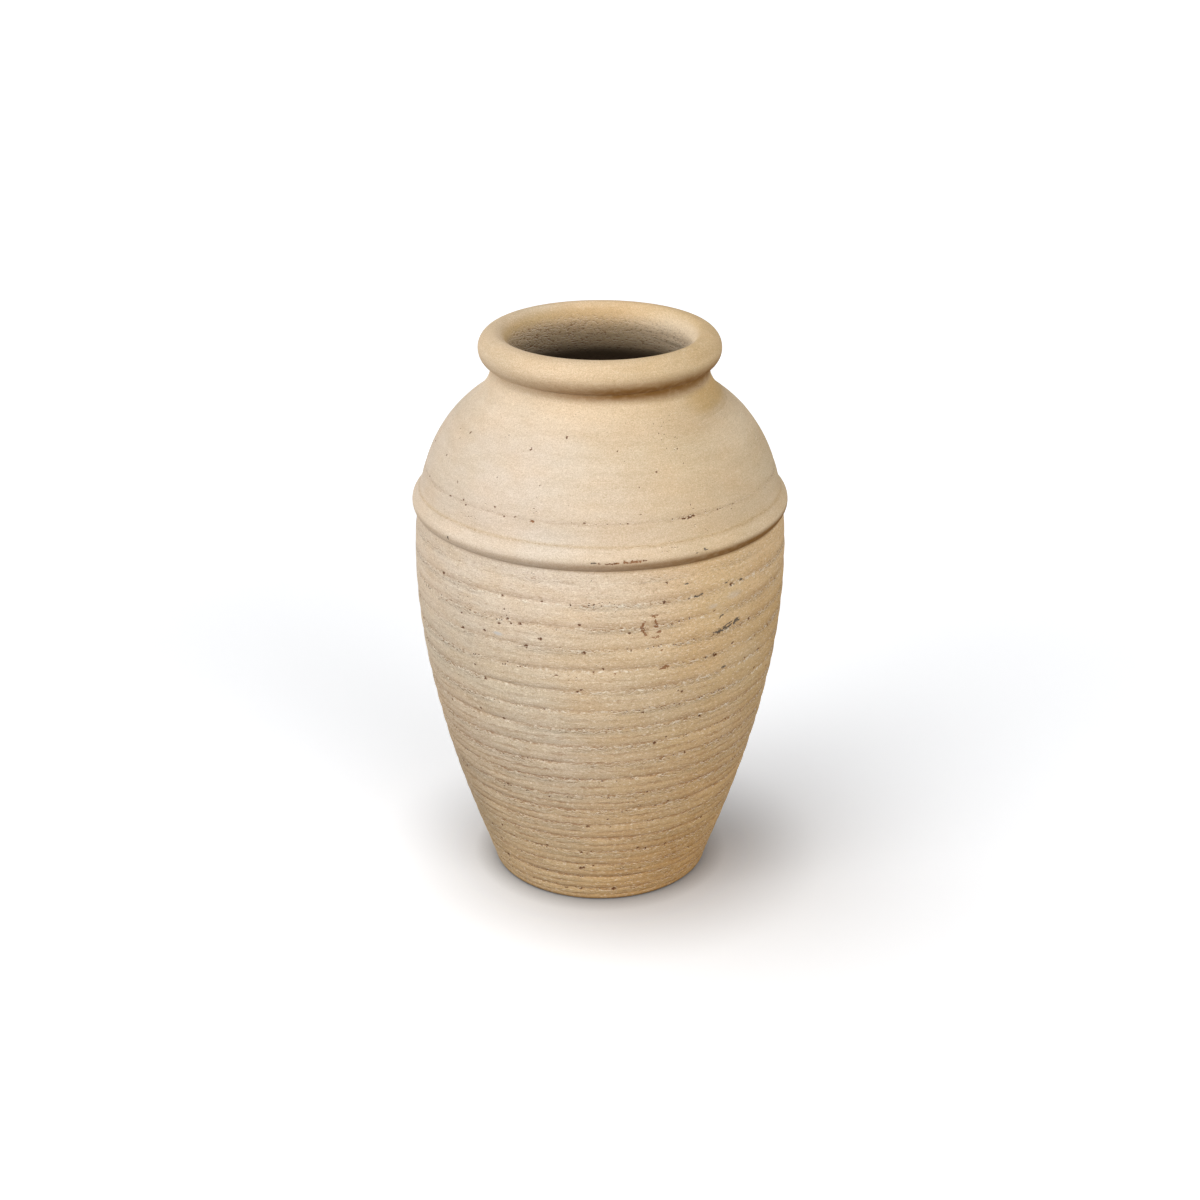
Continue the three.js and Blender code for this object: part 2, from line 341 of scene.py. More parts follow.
def tornClay(around, level, spiral, above):
    # clay that tore just below each groove, and in patches between
    torn = band(above + tornMarks["below"], tornMarks["width"])
    torn = torn * ease(*tornMarks["span"], ringNoise(spiral, tornMarks["line"]))
    fine = skinNoise(around, level, *tornMarks["grain"])
    torn = torn * (tornMarks["steady"] + tornMarks["broken"] * fine)
    patches = ease(*tornMarks["patchSpan"], skinNoise(around, level, *tornMarks["patchGrain"]))
    torn = np.maximum(torn, tornMarks["patch"] * patches)
    return torn * np.interp(level, tornMarks["heights"], tornMarks["shares"])


pinMarks = {
    "below": 0.5, "width": 2.2, "steady": 0.3, "broken": 0.7, "span": (0.3, 0.8), "line": (11, 1501),
    "heights": (0, 150, 180, 225), "shares": (0.7, 0.85, 1.0, 0.9), "front": 0.8, "lean": 0.15,
}


def pinRows(around, level, spiral, above, fade):
    # rows of pinholes along the grooves, more of them on one side
    rows = band(above + pinMarks["below"], pinMarks["width"])
    along = ease(*pinMarks["span"], ringNoise(spiral, pinMarks["line"]))
    rows = rows * (pinMarks["steady"] + pinMarks["broken"] * along) * fade
    rows = rows * np.interp(level, pinMarks["heights"], pinMarks["shares"])
    return rows * (pinMarks["front"] - pinMarks["lean"] * np.sin(around))


shadeSides = {"belt": (0.65, 0.5), "rim": (0.9, 0.75)}  # the share in front, and how much it leans


def beltShade(turn):
    # painted shade under the belt and the rim, stronger on the right side
    front, lean = shadeSides["belt"]
    return front + lean * np.sin(turn)


def rimShade(turn):
    front, lean = shadeSides["rim"]
    return np.clip(front + lean * np.sin(turn), 0, 1)


def sideStainAndShade(around, level, stain):
    # a stain on one side of the pot, also used to paint shade there; "side" runs from -1, at the left, to 1,
    # at the right
    share = stain["share"] * ease(*stain["side"], np.sin(around))
    return share * ease(*stain["from"], level) * ease(*stain["to"], level)


wallStainsAndShade = {
    "footShadeAndDirt": 0.85, "footShadeAndDirtSpan": (4.5, 0.3),  # painted shade, with dirt, at the foot, where it stands
    "shaded": 0.8, "shadedSpan": (240.0, 242.2),  # painted shade under the belt
    # painted shade on the lower left side of the pot
    "paintedLeftShade": {"share": 0.19, "side": (-0.65, -0.9), "from": (15, 40), "to": (115, 85)},
    "ochre": {"share": 0.55, "side": (0.7, 0.95), "from": (90, 140), "to": (225, 190)},
}


def wallRelief(around, level, run):
    # rings, drag marks and pits of the thrown lower wall, as the height of the skin in millimetres
    radius = float(bodyAt(level.mean())[0])
    spiral, above, spacing = ringPlace(around, level)
    foot = ease(*ringMarks["footSpan"], level)
    fade = (1 - ease(*ringMarks["topSpan"], level)) * foot
    strength = ringMarks["stronger"] * ringNoise(spiral, ringMarks["strengthLine"])
    strength = (ringMarks["faintest"] + strength) * fade
    sharp = ease(*ringMarks["sharpSpan"], ringNoise(spiral, ringMarks["sharpLine"]))
    lift = ringGrooves(level, above, spacing, strength, sharp)
    rippled = skinNoise(around, level, *ringMarks["rippleShare"])
    rippled = ringMarks["rippleLeast"] + ringMarks["rippleMore"] * rippled
    lift = lift + uneven(around, level, ringMarks["ripple"]) * rippled * fade
    lift = lift + uneven(around, level, ringMarks["brush"]) * foot
    lift = lift + uneven(around, level, ringMarks["swell"]) * ease(*ringMarks["swellSpan"], level)
    pitDepth, pitShade = pressPits(thrownPits, around, level, radius)
    strokeDepth, shades = pressStrokes(wallStrokes, around, level, radius)
    footShadeAndDirt = wallStainsAndShade["footShadeAndDirt"] * ease(*wallStainsAndShade["footShadeAndDirtSpan"], level)
    shaded = wallStainsAndShade["shaded"] * beltShade(around) * ease(*wallStainsAndShade["shadedSpan"], level)
    return lift - pitDepth - strokeDepth, {
        "grooveShadeAndDirt": shadeAndDirtInGrooves(around, above, strength, sharp),
        "torn": tornClay(around, level, spiral, above),
        "pitty": pinRows(around, level, spiral, above, fade),
        # painted shade under the belt, at the foot with dirt, and on the lower left side
        "creaseShadeAndDirt": np.maximum(footShadeAndDirt, shaded),
        "deep": sideStainAndShade(around, level, wallStainsAndShade["paintedLeftShade"]),
        "ochre": sideStainAndShade(around, level, wallStainsAndShade["ochre"]),
        "ash": scatterAsh(around, level, radius),
        "pit": np.maximum(pitShade, shades["pit"]),
        "rust": shades["rust"],
        "soot": shades["soot"],
        "ringSin": np.sin(fullTurn * above / spacing) * fade + (1 - fade),
        "ringCos": np.cos(fullTurn * above / spacing) * fade,
    }


# the swell of the pot, strokes of a wet hand and a shallow wave, on shoulder and belt
wipedSkin = ((0.35, *potSwell), (0.07, 9, 1.9, 57), (0.1, 6, 6.5, 143))
shoulderMarks = {
    "scoreLine": 268.0, "scoreDepth": 0.5, "scoreWidth": 1.0, "wander": (1.0, 9, 1, 29),
    "faintest": 0.45, "keener": 0.8, "keenSteps": 40, "keenStart": 87,
    "pits": 130, "onLine": 3, "offLine": 0.5, "pitLow": 250, "pitHigh": 312,  # every third is on the line
    "pitSmall": 0.34, "pitMore": 0.4, "pitPower": 3, "pitDeep": 0.6,
    "scored": {"grooveShadeAndDirt": 0.35, "torn": 0.35, "pitty": 0.62}, "meanHeight": 300.0,
    "chalk": {"share": 0.32, "side": (0.65, 0.9), "from": (288, 298), "to": (330, 320)},
}
shoulderStrokes = [
    (-23.8, 267.2, -18.6, 267.7, 0.9, 0.6, "rust", 0.15),
    (26.4, 267.4, 30.2, 267.9, 0.8, 0.4, "pit", 0.2),
    (41.6, 281.8, 43.4, 282.2, 0.7, 0.4, "pit", 0.4),
    (19.2, 281.6, 21.0, 282.0, 0.7, 0.4, "pit", 0.4),
]


def strewShoulderPits():
    plan = shoulderMarks
    pits = []
    for k in range(plan["pits"]):
        size = plan["pitSmall"] + plan["pitMore"] * dice.random() ** plan["pitPower"]
        if k % plan["onLine"]:
            level = dice.uniform(plan["pitLow"], plan["pitHigh"])
        else:
            level = plan["scoreLine"] + dice.normal(0, plan["offLine"])
        pits.append((dice.uniform(-math.pi, math.pi), level, size, plan["pitDeep"] * size))
    return pits


shoulderPits = strewShoulderPits()


def shoulderRelief(around, level, run):
    radius = float(bodyAt(min(level.mean(), shoulderMarks["meanHeight"]))[0])
    line = shoulderMarks["scoreLine"] + uneven(around, level * 0, shoulderMarks["wander"])
    steps = shoulderMarks["keenSteps"]
    keen = lineNoise(around / fullTurn * steps + steps, shoulderMarks["keenStart"])
    keen = shoulderMarks["faintest"] + shoulderMarks["keener"] * keen
    scored = keen * band(level - line, shoulderMarks["scoreWidth"])
    lift = uneven(around, level, *wipedSkin) - shoulderMarks["scoreDepth"] * scored
    pitDepth, pitShade = pressPits(shoulderPits, around, level, radius)
    strokeDepth, shades = pressStrokes(shoulderStrokes, around, level, radius)
    return lift - pitDepth - strokeDepth, {
        **{key: share * scored for key, share in shoulderMarks["scored"].items()},
        "chalk": sideStainAndShade(around, level, shoulderMarks["chalk"]),
        "pit": np.maximum(pitShade, shades["pit"]),
        "rust": shades["rust"],
        "soot": shades["soot"],
    }


beltMarks = {
    "lumps": (0.5, 13, 1, 411), "lumpSpan": (262, 252), "reach": 4.0,
    "edge": 255.3, "edgeWidth": 0.9, "edgeDepth": 0.12, "wander": (1.2, 11, 1, 67),
    "creaseShadeSpan": (249.2, 245.4), "pitty": 0.2,
    "edged": {"grooveShadeAndDirt": 0.2, "ochre": 0.4, "torn": 0.3}, "rust": 0.24,
}
beltStrokes = [
    (-4.2, 248.0, -1.2, 248.3, 0.7, 0.5, "soot", 0.3),
    (-0.4, 247.7, 7.0, 247.6, 0.5, 0.4, "pit", 0.1),
    (5.0, 247.6, 11.6, 248.2, 0.8, 0.6, "rust", 0.5),
    (8.0, 248.2, 15.0, 249.0, 0.5, 0.4, "pit", 0.2),
    (26.6, 248.6, 34.4, 250.0, 0.6, 0.5, "soot", 0.15),
    (-51.6, 246.0, -49.8, 246.8, 1.2, 0.2, "soot", 0.2),
]


def beltRelief(around, level, run):
    radius = float(bodyAt(bodyShape["beltSeam"])[0]) + beltMarks["reach"]
    lumps = uneven(around, level * 0, beltMarks["lumps"]) * ease(*beltMarks["lumpSpan"], level)
    lift = uneven(around, level, *wipedSkin) + lumps
    strokeDepth, shades = pressStrokes(beltStrokes, around, level, radius)
    line = beltMarks["edge"] + uneven(around, level * 0, beltMarks["wander"])
    edge = band(level - line, beltMarks["edgeWidth"])  # where a finger smoothed the coil out
    return lift - strokeDepth - beltMarks["edgeDepth"] * edge, {
        **{key: share * edge for key, share in beltMarks["edged"].items()},
        # painted shade under the coil, stronger on the right side
        "creaseShadeAndDirt": beltShade(around) * ease(*beltMarks["creaseShadeSpan"], level),
        "pitty": beltMarks["pitty"],
        "pit": shades["pit"],
        "rust": np.maximum(shades["rust"], beltMarks["rust"] * edge),
        "soot": shades["soot"],
    }


mouthSides = {"ochre": 0.65, "ochreLean": 0.55, "chalkSpan": (0.05, 0.85)}


def ochreSide(turn):
    # the mouth is stained on one side and chalky on the other
    return np.clip(mouthSides["ochre"] - mouthSides["ochreLean"] * np.sin(turn), 0, 1)


def chalkSide(turn):
    return ease(*mouthSides["chalkSpan"], np.sin(turn))


throatMarks = {
    "rim": 0.35, "rimSpan": (334.0, 329.0), "neck": 0.65, "neckSpan": (329.0, 316.0),
    "paler": 0.75, "palerSpan": (302.0, 280.0),
}


def throatShade(level):
    # darkest under the rim, where no light reaches, and paler down by the floor
    shade = throatMarks["rim"] * ease(*throatMarks["rimSpan"], level)
    shade = shade + throatMarks["neck"] * ease(*throatMarks["neckSpan"], level)
    return shade * (1 - throatMarks["paler"] * ease(*throatMarks["palerSpan"], level))


neckMarks = {
    "skin": ((0.35, *potSwell), (0.08, 9, 1.9, 57)), "pitty": 0.12,
    "creaseShadeFrom": 323.8, "creaseShadeTo": 329.5, "creaseShadeDrop": 4,
    "ochre": {"share": 0.9, "side": (0.65, 0.9), "from": (310, 314), "to": (326, 321)},
}


def neckRelief(around, level, run):
    # painted shade under the rim, stronger and reaching lower on the right side
    creaseShadeFrom = neckMarks["creaseShadeFrom"] - neckMarks["creaseShadeDrop"] * chalkSide(around)
    return uneven(around, level, *neckMarks["skin"]), {
        "creaseShadeAndDirt": rimShade(around) * ease(creaseShadeFrom, neckMarks["creaseShadeTo"], level),
        "ochre": sideStainAndShade(around, level, neckMarks["ochre"]),
        "pitty": neckMarks["pitty"],
    }


rimMarks = {
    "skin": ((0.4, 7, 14, 83), (0.06, 12, 1.8, 157)),
    "mouthSpan": (33.0, 42.0),  # along the outline from its lowest point
    "creaseShadeSpan": (343.0, 333.0), "ochreLeast": 0.4, "ochreMore": 0.6, "ochreSpan": (338.0, 346.0),
    "torn": 0.3, "tornMore": 0.6, "tornSpan": (347.0, 337.0), "pitty": 0.1, "mouthPitty": 0.15,
}


def rimRelief(around, level, run):
    inner = ease(*rimMarks["mouthSpan"], run)  # past the top, on the side of the mouth
    stained = rimMarks["ochreLeast"] + rimMarks["ochreMore"] * ease(*rimMarks["ochreSpan"], level)
    torn = (rimMarks["torn"] + rimMarks["tornMore"] * ochreSide(around)) * ease(*rimMarks["tornSpan"], level)
    return uneven(around, run, *rimMarks["skin"]), {
        # painted shade on the underside of the roll, stronger on the right side
        "creaseShadeAndDirt": rimShade(around) * ease(*rimMarks["creaseShadeSpan"], level) * (1 - inner),
        "deep": throatShade(level) * inner,
        "chalk": chalkSide(around) * inner,
        "ochre": ochreSide(around) * inner * stained,
        "torn": torn * inner,
        "pitty": rimMarks["pitty"] + rimMarks["mouthPitty"] * inner,
    }


insideMarks = {
    "drags": ((0.6, 14, 2.4, 257), (0.4, 6, 9, 31)), "rimSpan": (336, 330),
    "chalkSpan": (318.0, 328.0), "ochre": 0.4, "torn": 0.45, "tornMore": 0.55, "pitty": 0.25,
}


def insideRelief(around, level, run):
    # drag lines of the hand on the hidden side
    lift = uneven(around, level, *insideMarks["drags"]) * ease(*insideMarks["rimSpan"], level)
    return lift, {
        "deep": throatShade(level),
        "chalk": chalkSide(around) * ease(*insideMarks["chalkSpan"], level),
        "ochre": insideMarks["ochre"] * ochreSide(around),
        "torn": insideMarks["torn"] + insideMarks["tornMore"] * ochreSide(around),
        "pitty": insideMarks["pitty"],
    }


def plainMarks(lift):
    marks = {key: np.zeros_like(lift) for key in markNames}
    marks["ringSin"] += 1  # a quarter of a ring up, clear of every groove
    return marks


def layRows(stretches, reliefs):
    # joins the stretches: each row's place, side, outward way and run, and where a shaped stretch ends
    rows = np.vstack([line for side, line in stretches])
    sides = np.concatenate([[side] * len(line) for side, line in stretches])
    out = np.zeros_like(rows)
    run = np.zeros(len(rows))
    corners = []
    first = 0
    for side, line in stretches:
        last = first + len(line)
        if side in reliefs:
            out[first:last] = outward(line)
            run[first + 1:last] = np.cumsum(np.linalg.norm(np.diff(line, axis=0), axis=1))
            corners += [first, last - 1]
        first = last
    return rows, sides, out, run, corners


def skinFaces(rowCount, around, closed):
    lower = np.arange(rowCount if closed else rowCount - 1)[:, None]
    upper = (lower + 1) % rowCount
    left = np.arange(around)
    right = (left + 1) % around
    quads = np.stack([lower * around + left, lower * around + right,
                      upper * around + right, upper * around + left], axis=-1)
    faces = quads.reshape(-1, 4).tolist()
    if not closed:  # a floor runs to the axis at both ends
        faces.append(list(range(around))[::-1])
        faces.append(list(range((rowCount - 1) * around, rowCount * around)))
    return faces


def sharpenCorners(mesh, around, corners):
    # edges that run round the pot where one stretch of the outline meets the next
    ends = np.zeros(len(mesh.edges) * 2, np.int32)
    mesh.edges.foreach_get("vertices", ends)
    ends = ends.reshape(-1, 2) // around
    sharp = (ends[:, 0] == ends[:, 1]) & np.isin(ends[:, 0], corners)
    edges = mesh.attributes.new("sharp_edge", "BOOLEAN", "EDGE")
    edges.data.foreach_set("value", sharp)


def turnPiece(name, stretches, around, reliefs, closed=True):
    # revolves an outline given as (side, rows) stretches; a side without a relief stays plain
    rows, sides, out, run, corners = layRows(stretches, reliefs)
    turn = (np.arange(around) / around - 0.5) * fullTurn  # 0 faces the camera
    lift = np.zeros((len(rows), around))
    marks = plainMarks(lift)
    for side, relief in reliefs.items():
        chosen = np.nonzero(sides == side)[0]
        lift[chosen], shades = relief(turn[None, :], rows[chosen, 1:], run[chosen, None])
        for key, value in shades.items():
            marks[key][chosen] = value
    radius = (rows[:, :1] + lift * out[:, :1]) * mm
    height = (rows[:, 1:] + lift * out[:, 1:]) * mm
    places = np.stack([radius * np.sin(turn), -radius * np.cos(turn), height], axis=-1).reshape(-1, 3)
    mesh = bpy.data.meshes.new(name)
    mesh.from_pydata(places.tolist(), [], skinFaces(len(rows), around, closed), shade_flat=False)
    for key, value in marks.items():
        layer = mesh.attributes.new(key, "FLOAT", "POINT")
        layer.data.foreach_set("value", value.astype(np.float32).ravel())
    sharpenCorners(mesh, around, corners if closed else [])
    mesh.update()
    piece = bpy.data.objects.new(name, mesh)
    bpy.context.collection.objects.link(piece)
    print(name, "turned:", len(mesh.polygons), "faces")
    return piece


def tint(red, green, blue):
    # an ordinary 8-bit colour as the linear values that a shader takes
    shares = [level / 255 for level in (red, green, blue)]
    return tuple(s / 12.92 if s <= 0.04045 else ((s + 0.055) / 1.055) ** 2.4 for s in shares) + (1.0,)


ringedClay = {
    # share of the pot's height, and the clay's colour there
    "tones": ((0.0, tint(197, 168, 126)), (0.12, tint(199, 174, 138)), (0.22, tint(203, 181, 151)),
              (0.33, tint(206, 187, 162)), (0.45, tint(210, 194, 171)), (0.56, tint(215, 199, 178)),
              (0.65, tint(223, 207, 187)), (0.75, tint(213, 198, 181)), (0.86, tint(213, 198, 180)),
              (0.92, tint(227, 207, 181)), (0.95, tint(217, 196, 168)), (1.0, tint(215, 193, 163))),
    "rightTint": (0.955, 0.805, 0.565, 1.0), "chalk": tint(240, 220, 192),
    "cool": (0.995, 1.0, 0.99, 1.0), "warm": (1.02, 0.98, 0.935, 1.0),
    "ochre": tint(206, 168, 112), "cloud": 0.2, "stain": (0.87, 0.78, 0.57, 1.0),
    "streakLow": 0.955, "streakHigh": 1.04, "washLow": 0.97, "washHigh": 1.025,
    "grainLow": 0.77, "grainHigh": 1.19,
    "comb": 0.1, "combTop": 0.1, "combPale": 0.1, "combPaleTop": 0.05,
    # the groove brown is dirt and painted shade in the grooves, their lines and the hollows, and the colour
    # of fine lines and nicks
    "groove": tint(136, 90, 48), "grooveShadeShare": 0.4, "ringSpacing": 12.5, "line": 0.72,
    # lip is the share of a painted highlight on the lip under each groove line, and dent the share of dirt
    # and painted shadow in torn hollows
    "lip": 0.85, "lipDrop": 0.9, "scratch": 0.5, "nick": 0.38,
    "dent": 0.85, "paleFleckAndHighlight": tint(248, 236, 214), "tornHighlightShare": 1.0, "highlightDrop": 0.0005,
    "ash": tint(199, 197, 195), "rust": tint(132, 82, 44), "soot": tint(66, 63, 60), "stainShare": 0.85,
    "raggedness": 2.4, "pit": tint(92, 49, 22), "pitShare": 0.92,
    # the crease colour paints shade under the rim and the belt, and shade with dirt at the foot; the deep
    # colour paints the shade of the throat and of the lower left side
    "creaseShadeAndDirt": tint(124, 87, 42), "deep": tint(72, 58, 42),
    "strewn": 0.52, "holes": 680.0, "holeSize": 0.95, "holeBlur": 1.6, "holeWobble": 0.0006,
    "holeHighlight": 0.6, "holeHighlightDrop": 0.0006,
    "grainBump": 0.18, "combBump": 0.35, "tornBump": 1.7,  # millimetres
    "holeBump": -0.5, "lineBump": -0.28, "lipBump": 0.25,
    "rough": 0.9, "roughSwing": 0.06, "gloss": 0.2,
}
smoothClay = dict(ringedClay, rightTint=(0.94, 0.865, 0.7, 1.0), cloud=0.12, streakLow=0.945, streakHigh=1.035,
                  washLow=0.975, washHigh=1.02, grainLow=0.79, grainHigh=1.16, comb=0.4, combPale=0.06,
                  scratch=0.16, nick=0.1, strewn=0.5, grainBump=0.1, combBump=0.2)
usualRoughness = 0.55
clayNoises = {  # scale, detail, stretch up the pot, and roughness where it isn't the usual one
    "cloud": (11, 3, 1.0), "warmth": (17, 3, 1.6), "patch": (46, 3, 2.5),
    "streak": (34, 4, 6.0), "comb": (110, 5, 9.0, 0.6), "wash": (190, 4, 3.2),
    "grain": (1400, 3, 1.3, 0.7), "broken": (70, 3, 3.0), "stray": (260, 4, 1.4, 0.65),
    "sway": (26, 2, 2.0), "whole": (95, 3, 2.0), "halfWhole": (60, 3, 3.0),
    "crumble": (300, 3, 1.8), "crumbleFine": (820, 3, 1.4), "crumb": (450, 3, 2.6, 0.6),
    "crust": (430, 4, 2.6, 0.65), "ragged": (760, 3, 1.6, 0.65), "strewn": (36, 3, 1.0),
    "creaseShadeNoise": (210, 4, 2.0),
}
claySpans = {  # from low and high, to low and high where these aren't 0 and 1
    "cloud": (0.3, 0.7, -0.25, 0.25), "warmth": (0.35, 0.65), "patch": (0.45, 0.75),
    "broken": (0.35, 0.65, 0.6, 1.0), "whole": (0.35, 0.65, 0.35, 1.0), "halfWhole": (0.35, 0.62, 0.15, 0.8),
    "stray": (0.0, 1.0, -2.6, 2.6), "sway": (0.0, 1.0, -1.2, 1.2),  # millimetres
    "crumble": (0.52, 0.6), "crumbleFine": (0.38, 0.52), "creaseShadeNoise": (0.3, 0.55, 0.84, 1.0),
    "veil": (0.3, 0.7), "combDark": (0.52, 0.3), "combPale": (0.54, 0.72), "ash": (0.3, 0.6, 0.6, 1.0),
    "scratch": (0.57, 0.68), "nick": (0.42, 0.31), "hollow": (0.46, 0.39), "tornLipHighlight": (0.44, 0.5),
    "line": (1.3, 0.1), "halfLine": (1.4, 0.05), "lip": (1.2, 0.1),  # millimetres from the groove
    "rightTintSide": (-0.035, 0.065),  # metres from the axis
    "upPot": (0.0, 0.35), "combHeight": (0.06, 0.19), "lineHeight": (0.1, 0.19, 1.0, 0.3),
    "lipHeight": (0.05, 0.15, 0.15, 1.0),
    "markNear": (0.0, 0.3), "markEdge": (0.4, 0.62),
    "strewn": (0.48, 0.7), "holeChance": (0.35, 1.3), "holeEdge": (0.0, -0.08), "besideHole": (1.0, 0.0),
}
veilPowers = (1.0, 1.2, 1.6)  # darker spots are browner and paler ones whiter


def addNode(tree, kind, sockets, **settings):
    # a new shader node; each socket gets a value, or a link from another node's socket
    node = tree.nodes.new("ShaderNode" + kind)
    for key, value in settings.items():
        setattr(node, key, value)
    for key, value in sockets.items():
        if isinstance(value, bpy.types.NodeSocket):
            tree.links.new(value, node.inputs[key])
        else:
            node.inputs[key].default_value = value
    return node


class ClayNodes:
    # the nodes of one clay finish, and short ways to add to them

    def __init__(self, name):
        self.clay = bpy.data.materials.new(name)
        self.clay.use_nodes = True
        self.place = self.add("TexCoord", {}).outputs["Object"]
        split = self.add("SeparateXYZ", {0: self.place})
        self.right = split.outputs["X"]
        self.height = split.outputs["Z"]
        self.made = {}  # noises that several parts of the finish share

    def add(self, kind, sockets, **settings):
        return addNode(self.clay.node_tree, kind, sockets, **settings)

    def number(self, operation, first, second=0.0):
        return self.add("Math", {0: first, 1: second}, operation=operation).outputs[0]

    def times(self, first, *others):
        for other in others:
            first = self.number("MULTIPLY", first, other)
        return first

    def span(self, value, key, *ends):
        # takes a span of values to 0 and 1, or to the ends that are given
        settings = (value, *claySpans[key], *ends)
        return self.add("MapRange", dict(enumerate(settings))).outputs[0]

    def mixed(self, share, under, over, how="MIX"):
        sockets = {0: share, 6: under, 7: over}
        return self.add("Mix", sockets, data_type="RGBA", blend_type=how).outputs[2]

    def laid(self, tone, colour, *shares):
        return self.mixed(self.times(*shares), tone, colour)

    def dyed(self, share, tone, dye):
        return self.mixed(share, tone, self.mixed(1.0, tone, dye, "MULTIPLY"))

    def veiled(self, tone, value, low, high):
        brown, white = (tuple(level ** power for power in veilPowers) + (1.0,) for level in (low, high))
        veil = self.mixed(self.span(value, "veil"), brown, white)
        return self.mixed(1.0, tone, veil, "MULTIPLY")

    def mark(self, key):
        return self.add("Attribute", {}, attribute_name=key).outputs["Fac"]

    def noise(self, key, above=0.0):
        # one of the clay's noises, or the same noise as it is a little above each point
        if (key, above) not in self.made:
            scale, detail, stretch, roughness = (*clayNoises[key], usualRoughness)[:4]
            moved = self.add("Mapping", {"Vector": self.place, "Scale": (1, 1, stretch),
                                         "Location": (0, 0, above * stretch)}).outputs[0]
            step = self.add("TexNoise", {"Vector": moved, "Scale": scale, "Detail": detail,
                                         "Roughness": roughness})
            self.made[key, above] = step.outputs[0]
        return self.made[key, above]

    def patches(self, key):
        return self.span(self.noise(key), key)


def groundTone(tree, look):
    # the clay's colour up the pot, darker and yellower towards the right side, and clouded with ochre
    ramp = tree.add("ValToRGB", {0: tree.span(tree.height, "upPot")})
    stops = ramp.color_ramp.elements
    while len(stops) < len(look["tones"]):
        stops.new(0.5)
    for stop, (at, colour) in zip(stops, look["tones"]):
        stop.position = at
        stop.color = colour
    side = tree.number("ADD", tree.span(tree.right, "rightTintSide"), tree.patches("cloud"))
    tone = tree.dyed(side, ramp.outputs[0], look["rightTint"])
    tone = tree.laid(tone, look["chalk"], tree.mark("chalk"))
    cool, warm = (tree.mixed(1.0, tone, look[key], "MULTIPLY") for key in ("cool", "warm"))
    tone = tree.mixed(tree.patches("warmth"), cool, warm)
    return tree.laid(tone, look["ochre"], tree.patches("patch"), look["cloud"])


def wheelTone(tree, look, tone):
    # streaks of the wet hand, fine lines of the turning wheel, and the grain
    comb = tree.noise("comb")
    tone = tree.veiled(tone, tree.noise("streak"), look["streakLow"], look["streakHigh"])
    dark = tree.span(tree.height, "combHeight", look["comb"], look["comb"] * look["combTop"])
    tone = tree.laid(tone, look["groove"], tree.span(comb, "combDark"), dark)
    pale = tree.span(tree.height, "combHeight", look["combPale"], look["combPaleTop"])
    tone = tree.laid(tone, look["paleFleckAndHighlight"], tree.span(comb, "combPale"), pale)
    tone = tree.veiled(tone, tree.noise("wash"), look["washLow"], look["washHigh"])
    return tree.veiled(tone, tree.noise("grain"), look["grainLow"], look["grainHigh"])


def ringLines(tree, look):
    # the dark line in each groove and a weaker one half way to the next, dirt and painted shade, and the
    # pale crumbs on the lip below, a painted highlight where light from above would catch them
    swing = tree.number("ARCTAN2", tree.mark("ringSin"), tree.mark("ringCos"))
    gap = tree.times(swing, look["ringSpacing"] / fullTurn)  # millimetres above the groove
    gap = tree.number("ADD", gap, tree.patches("stray"))
    half = tree.number("ABSOLUTE", tree.number("ADD", gap, tree.patches("sway")))
    half = tree.number("ABSOLUTE", tree.number("SUBTRACT", look["ringSpacing"] / 2, half))
    line = tree.times(tree.span(tree.number("ABSOLUTE", gap), "line"), tree.patches("whole"))
    halfLine = tree.times(tree.span(half, "halfLine"), tree.patches("halfWhole"))
    line = tree.number("MAXIMUM", line, halfLine)
    line = tree.times(line, tree.span(tree.height, "lineHeight"))  # fainter near the belt
    below = tree.number("ABSOLUTE", tree.number("ADD", gap, look["lipDrop"]))
    crumbled = tree.times(tree.patches("crumble"), tree.patches("crumbleFine"))
    crumbled = tree.times(crumbled, tree.span(tree.height, "lipHeight"))
    return line, tree.times(tree.span(below, "lip"), crumbled)


def ringTone(tree, look, tone, line, lip):
    # ochre stain, then dirt and painted shade in and above the grooves, and a painted highlight on the lip
    # below
    tone = tree.dyed(tree.mark("ochre"), tone, look["stain"])
    tone = tree.laid(tone, look["groove"], tree.mark("grooveShadeAndDirt"), look["grooveShadeShare"], tree.patches("broken"))
    tone = tree.laid(tone, look["groove"], line, look["line"])
    return tree.laid(tone, look["paleFleckAndHighlight"], lip, look["lip"])


def crumbTone(tree, look, tone):
    # scratches and nicks of the whole skin, then torn clay: hollows darkened with dirt and painted shadow,
    # and a painted highlight on the lips under them, where light from above would catch them
    crumb = tree.noise("crumb")
    tone = tree.laid(tone, look["paleFleckAndHighlight"], tree.span(crumb, "scratch"), look["scratch"])
    tone = tree.laid(tone, look["groove"], tree.span(crumb, "nick"), look["nick"])
    torn = tree.mark("torn")
    crust = tree.noise("crust")
    above = tree.noise("crust", look["highlightDrop"])
    tone = tree.laid(tone, look["groove"], tree.span(crust, "hollow"), torn, look["dent"])
    paleFleckAndHighlight = tree.times(tree.span(above, "hollow"), tree.span(crust, "tornLipHighlight"), torn)
    return tree.laid(tone, look["paleFleckAndHighlight"], paleFleckAndHighlight, look["tornHighlightShare"])


def speckled(tree, look, key):
    # a mark with a ragged edge
    ragged = tree.times(tree.number("SUBTRACT", tree.noise("ragged"), 0.5), look["raggedness"])
    near = tree.times(ragged, tree.span(tree.mark(key), "markNear"))
    return tree.span(tree.number("ADD", tree.mark(key), near), "markEdge")


def stainTone(tree, look, tone):
    tone = tree.laid(tone, look["ash"], tree.mark("ash"), tree.span(tree.noise("wash"), "ash"))
    for key in ("rust", "soot"):
        tone = tree.laid(tone, look[key], speckled(tree, look, key), look["stainShare"])
    return tone


